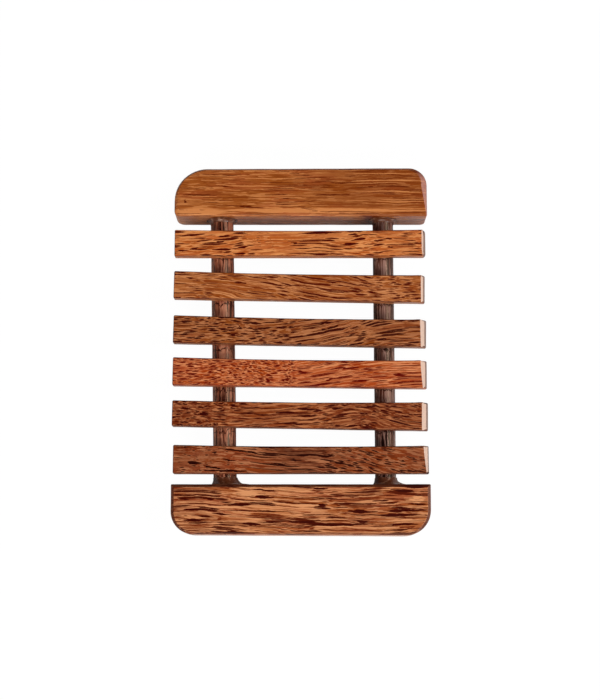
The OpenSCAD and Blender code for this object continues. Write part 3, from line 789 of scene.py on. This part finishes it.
# The boldest strands of each slat
slat_bolds = [
    [(-26.8, 2.4, 6.3, 0.78, 0.05), (-28.5, 0.4, 3.5, 0.7, 0.14), (-37.8, -2.1, 4.2, 0.7, 0.16),
     (-20.7, -1.7, 3.5, 0.78, 0), (-21.4, -3.9, 4.2, 0.7, 0.05), (-2.2, -0.2, 2.8, 0.62, 0.16),
     (6.4, 3.6, 14.8, 0.78, 0.02), (17.6, -0.4, 6, 0.94, 0), (31.3, 1.5, 3.2, 0.7, 0.05),
     (32.1, -1.6, 2.5, 0.62, 0), (41.8, -0.2, 4.6, 0.55, -0.02), (6.7, -4.1, 16.2, 0.55, 0),
     (-42, -2.9, 4.9, 0.7, 0.07)],
    [(-38.8, 2.4, 3.2, 0.78, -0.14), (-21.1, 1, 4.6, 0.62, -0.12), (-10.9, 4.5, 4.9, 0.62, -0.04),
     (11.5, 1.7, 4.6, 0.78, -0.14), (19.4, -1.3, 5.6, 0.78, -0.05), (24.3, 1.5, 5.3, 0.62, -0.16),
     (41.7, -3.6, 4.9, 0.78, 0.09), (39.9, -1.3, 4.9, 0.62, 0.05), (3.8, -3.5, 7, 0.55, -0.09)],
    [(-40.6, 2.6, 6.3, 0.7, -0.03), (-27.1, 0.2, 3.9, 0.78, -0.05), (-24.3, -1.5, 4.2, 0.78, -0.05),
     (-22.6, 3.2, 4.6, 0.55, -0.12), (-40.5, -1.8, 3.9, 0.7, 0.02), (-16.6, 2.6, 6.7, 0.55, -0.03),
     (-6.3, 1.3, 4.6, 0.7, 0.12), (10.2, 1.2, 12.3, 0.62, 0.29), (9.2, 3.1, 9.9, 0.78, 0.07),
     (21.9, -1.1, 6, 0.62, 0.12), (29, -2.4, 4.6, 0.78, 0.09), (0.1, -4.7, 3.5, 0.94, 0.12),
     (-21.5, 1, 1.1, 1.17, 0.02)],
    [(-11.2, -2.8, 2.5, 1.17, -0.06), (-5.5, -2.7, 3.2, 0.94, 0.07), (-29.5, 3.9, 3.5, 0.7, -0.06),
     (0.7, 0.2, 4.6, 0.94, -0.27), (21.5, -2.7, 6.7, 0.7, 0.07), (35.1, -0.4, 6, 0.86, 0.01),
     (10.6, -2.3, 7.7, 0.62, 0.23), (17.6, 1.8, 10.6, 0.55, 0.12)],
    [(-33.8, -0.1, 4.2, 1.33, 0.01), (-40.5, 1.7, 2.1, 0.78, 0.01), (-23.2, 2.9, 2.5, 0.94, -0.35),
     (-17.8, 0.3, 4.9, 0.7, -0.04), (-5, 0.7, 10.6, 0.7, 0.03), (-4.6, -3.1, 9.9, 0.78, -0.02),
     (2.7, 1.9, 8.8, 0.7, -0.02), (2, -0.3, 7, 0.62, -0.01), (23.6, 3, 8.5, 0.78, 0.08),
     (-13, -0.2, 7, 0.62, -0.02)],
    [(-37.2, -1.3, 4.6, 1.17, -0.07), (-25, -0.4, 3.9, 0.78, -0.1), (-30.3, 2.4, 2.5, 0.7, 0.07),
     (-31.3, -2.8, 7.7, 0.78, -0.16), (-26.1, -4, 17.6, 0.78, -0.02), (-20.9, 2.9, 19.7, 0.55, -0.12),
     (-7.3, -1.7, 6, 0.78, -0.14), (-2.1, -0.3, 4.9, 0.94, -0.07), (0.7, 1.4, 5.6, 0.94, -0.03),
     (-13.6, 4.3, 23.2, 0.78, -0.02), (8.7, 1.1, 6, 0.86, -0.05), (13.6, -1.3, 9.9, 0.78, -0.16),
     (-40.8, 4.2, 7, 0.62, 0)],
]
# How browned each slat is at the shade stops
slat_shades = [(0, 0, 0.1, 0, 0.08), (0, 0, 0.1, 0.2, 0.05), (0, 0, 0.1, 0.02, 0.15),
               (0.1, 0.05, 0, 0.15, 0), (0.45, 0.2, 0, 0.45, 0.45), (0.2, 0, 0.65, 0.2, 0.2)]
# The pale strands of each slat
slat_faded = [
    [(-40.6, -1, 6.3, 0.6, 0.09), (-22.5, -2.9, 4.6, 0.6, 0), (18.4, -2.7, 12, 1.1, 0),
     (-7.2, -4.1, 5.6, 0.8, 0)],
    [(7.3, -0.1, 19, 0.6, -0.19), (10.9, -1.6, 14.8, 0.6, -0.16), (29.6, -1.1, 6.3, 0.6, 0.12),
     (-30, 2.2, 13.4, 0.6, -0.12)],
    [(15.9, -2.2, 15.5, 0.6, 0.12), (10.6, 0.2, 7, 0.6, 0.27), (-17.6, 0, 14, 0.6, -0.02)],
    [(10.5, 2.5, 19, 0.8, 0.19), (-13.3, 2.2, 7.7, 0.6, -0.16), (29.9, -2.3, 14, 0.7, 0.07),
     (39.5, 1.2, 8, 1.1, 0.02)],
    [(-0.1, -0.9, 22.5, 0.9, 0.01), (-24.5, -3.4, 12, 0.6, 0.01), (-0.1, 3.8, 17, 1, 0.01),
     (6, -2.4, 15, 0.9, 0.01)],
    [(-21.3, 3.6, 20.4, 0.6, -0.12), (-17.7, -1.4, 19, 0.6, -0.09), (5.9, -0.6, 10.6, 1.2, -0.07)],
]
# The pale tone is a painted glint on the right facets; the dark tone at both ends is partly end grain and
# partly painted shade, and the arris shares are painted shade.
slat_end_glint_and_shade = {"tone": "#dabbaa", "share": 0.95, "lean": 0.5, "dark_lean": 0.64, "dark_tone": "#44120a",
             "back_arris_shade": 0.8, "front_arris_shade": 0.65}

for number in range(1, 7):
    node = f"slat_{number}"
    low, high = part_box(node)
    centre, span = (low + high) / 2, high - low
    turn = math.radians(slat_turns[number - 1])
    cos_t, sin_t = math.cos(turn), abs(math.sin(turn))
    slat_l = (span.x * cos_t - span.y * sin_t) / (cos_t ** 2 - sin_t ** 2)
    slat_w = (span.y * cos_t - span.x * sin_t) / (cos_t ** 2 - sin_t ** 2)
    left, right = centre.x - slat_l / 2, centre.x + slat_l / 2
    taper = tapers[number - 1] * mm
    centre.y += taper / 4
    bpy.ops.object.select_all(action="DESELECT")
    bpy.ops.mesh.primitive_cube_add(size=1, location=centre)
    bpy.context.active_object.scale = (slat_l, slat_w, span.z)
    strip = bench(f"strip_{number}")
    for end, change in ((-1, -taper / 2), (1, taper / 2)):
        pick("VERT", lambda v: end * (v.co.x - centre.x) > 0)
        bpy.ops.transform.resize(value=(1, (slat_w + change) / slat_w, 1), center_override=centre)
    for end, corner_r in ((-1, left_corner_r), (1, right_corner_r[number - 1] * mm)):
        pick("EDGE", lambda e: abs(e.verts[0].co.z - e.verts[1].co.z) > near_enough
             and end * (e.verts[0].co.x - centre.x) > 0)
        bpy.ops.mesh.bevel(offset=corner_r, segments=4, affect="EDGES")
    pick("EDGE", lambda e: abs(e.verts[0].co.z - e.verts[1].co.z) < near_enough)
    bpy.ops.mesh.bevel(offset=slat_edge, segments=3, affect="EDGES")
    facet_w, slant = facet_widths[number - 1] * mm, math.radians(facet_slants[number - 1])
    facet_out = Vector((math.sin(facet_slope) * math.cos(slant), math.sin(facet_slope) * math.sin(slant),
                        math.cos(facet_slope)))
    facet_middle = right - facet_w / 2
    bpy.ops.mesh.select_all(action="SELECT")
    bpy.ops.mesh.bisect(plane_co=(right - facet_w, centre.y, high.z), plane_no=facet_out,
                        use_fill=True, clear_outer=True)
    pick("EDGE", lambda e: any(f.normal.dot(facet_out) > same_plane for f in e.link_faces)
         and max(v.co.x for v in e.verts) > facet_middle)
    bpy.ops.mesh.bevel(offset=facet_outer_arrises[number - 1] * mm, segments=3, affect="EDGES")
    pick("EDGE", lambda e: any(f.normal.dot(facet_out) > same_plane for f in e.link_faces)
         and max(v.co.x for v in e.verts) <= facet_middle)
    bpy.ops.mesh.bevel(offset=facet_arris, segments=2, affect="EDGES")
    cut_rows(0, left, right, row_step)
    cut_rows(1, low.y, high.y, row_step)
    rows = max(2, round(slat_l / row_step))
    back_third = centre.y + slat_w / 3
    for row in range(1, rows):
        share = 2 * row / rows - 1
        pick("VERT", lambda v: abs(v.co.x - centre.x - share * slat_l / 2) < near_enough
             and v.co.y > back_third)
        bpy.ops.transform.translate(value=(0, -waist * (1 - share ** 2), 0))
    bpy.ops.object.mode_set(mode="OBJECT")
    rub_by_hand(strip, swell_depth, swell_size)
    bpy.ops.object.mode_set(mode="EDIT")
    bpy.ops.mesh.select_all(action="SELECT")
    bpy.ops.transform.rotate(value=-turn, orient_axis="Z", center_override=centre)
    bpy.ops.object.mode_set(mode="OBJECT")
    bore_for_dowels(strip)
    smooth(strip, arris_angle)
    girths, fine_girths, dive, climb = slat_curves[number - 1]
    finish_in_wood(
        strip, f"slat {number} palm wood", centre, grain_turn=-turn, wood=slat_woods[number - 1],
        girths=girths, fine_girths=fine_girths, dive=dive, climb=climb, shades=slat_shades[number - 1],
        ends=slat_end_glint_and_shade, bold=slat_bolds[number - 1], faded=slat_faded[number - 1])
    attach(strip, "root")
    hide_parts(node)

# Glue. Dark wood glue squeezed out where the dowels enter the blocks and set in a ring,
# smooth on the side of the dowel and ragged where it runs out on the block.
glue_reaches = {"back": 1.3 * mm, "front": 2.4 * mm}
glue_lip = 0.15 * mm
glue_steps = 8
glue_swell = 0.5 * mm
glue_lump_size = 2.5 * mm
glue_lean_shares = {"back": 0, "front": 0.6}
glue_arris_angle = 50
glue_color = "#5e3018"
scuff_color = "#9a7058"
scuffs_per_metre = 700
scuff_strength = 0.4
scuff_depth = 0.3 * mm
scuff_edge = (0.5, 0.75)
glue_roughness = 0.35

glue_finish = bpy.data.materials.new("cured wood glue")
glue_finish.use_nodes = True
glue_tree = glue_finish.node_tree
glue_tree.nodes.clear()
on_bead = put(glue_tree, "TexCoord").outputs["Object"]
scuff = put(glue_tree, "TexNoise", {
    "Vector": on_bead, "Scale": scuffs_per_metre, "Detail": 3}).outputs["Fac"]
tone = blend(glue_tree, spread(glue_tree, scuff, *scuff_edge), paint(glue_color), paint(scuff_color))
bump = put(glue_tree, "Bump", {"Height": scuff, "Strength": scuff_strength, "Distance": scuff_depth})
film = put(glue_tree, "BsdfPrincipled", {
    "Base Color": tone, "Roughness": glue_roughness, "Normal": bump.outputs[0]})
put(glue_tree, "OutputMaterial", {"Surface": film.outputs[0]})

for node in ("back_left_glue", "back_right_glue", "front_left_glue", "front_right_glue"):
    end, hand = node.split("_")[:2]
    glue_reach = glue_reaches[end]
    dowel_low, dowel_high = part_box(f"{hand}_dowel")
    block_low, block_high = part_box(f"{end}_end_block")
    facing = 1 if end == "back" else -1
    face_y = block_low.y if end == "back" else block_high.y
    turn = dowel_turns[f"{hand}_dowel"]
    axis = Vector((-math.sin(turn), math.cos(turn), 0)) * facing
    middle = (dowel_low + dowel_high) / 2
    seat = middle + axis * (abs(face_y - middle.y) / math.cos(turn) - glue_film)
    inner_r = (dowel_high.z - dowel_low.z) / 2 + glue_film
    bpy.ops.object.select_all(action="DESELECT")
    bpy.ops.mesh.primitive_circle_add(vertices=dowel_sides, radius=inner_r, fill_type="NOTHING",
                                      location=seat - axis * (glue_reach + glue_lip),
                                      rotation=(math.pi / 2, 0, turn))
    bead = bench(node.replace("glue", "bead"))
    bpy.ops.mesh.select_all(action="SELECT")
    radius, place = inner_r, glue_reach + glue_lip
    profile = [(place, inner_r + glue_lip)]
    for step in range(1, glue_steps + 1):
        angle = math.pi / 2 * step / glue_steps
        profile.append((glue_lip + glue_reach * (1 - math.sin(angle)),
                        inner_r + glue_lip + glue_reach * (1 - math.cos(angle))))
    profile += [(0, inner_r + glue_lip + glue_reach), (0, inner_r)]
    for next_place, next_radius in profile:
        bpy.ops.mesh.extrude_edges_move(TRANSFORM_OT_translate={"value": axis * (place - next_place)})
        grow = next_radius / radius
        pivot = seat - axis * next_place - Vector((glue_lean_shares[end] * inner_r, 0, 0))
        bpy.ops.transform.resize(value=(grow, grow, grow), center_override=pivot)
        radius, place = next_radius, next_place
    pick("EDGE", lambda e: e.is_boundary)
    bpy.ops.mesh.bridge_edge_loops()
    bpy.ops.mesh.select_all(action="SELECT")
    bpy.ops.mesh.normals_make_consistent(inside=False)
    bpy.ops.object.mode_set(mode="OBJECT")
    rub_by_hand(bead, glue_swell, glue_lump_size)
    smooth(bead, glue_arris_angle)
    bead.data.materials.append(glue_finish)
    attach(bead, "root")
    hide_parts(node)
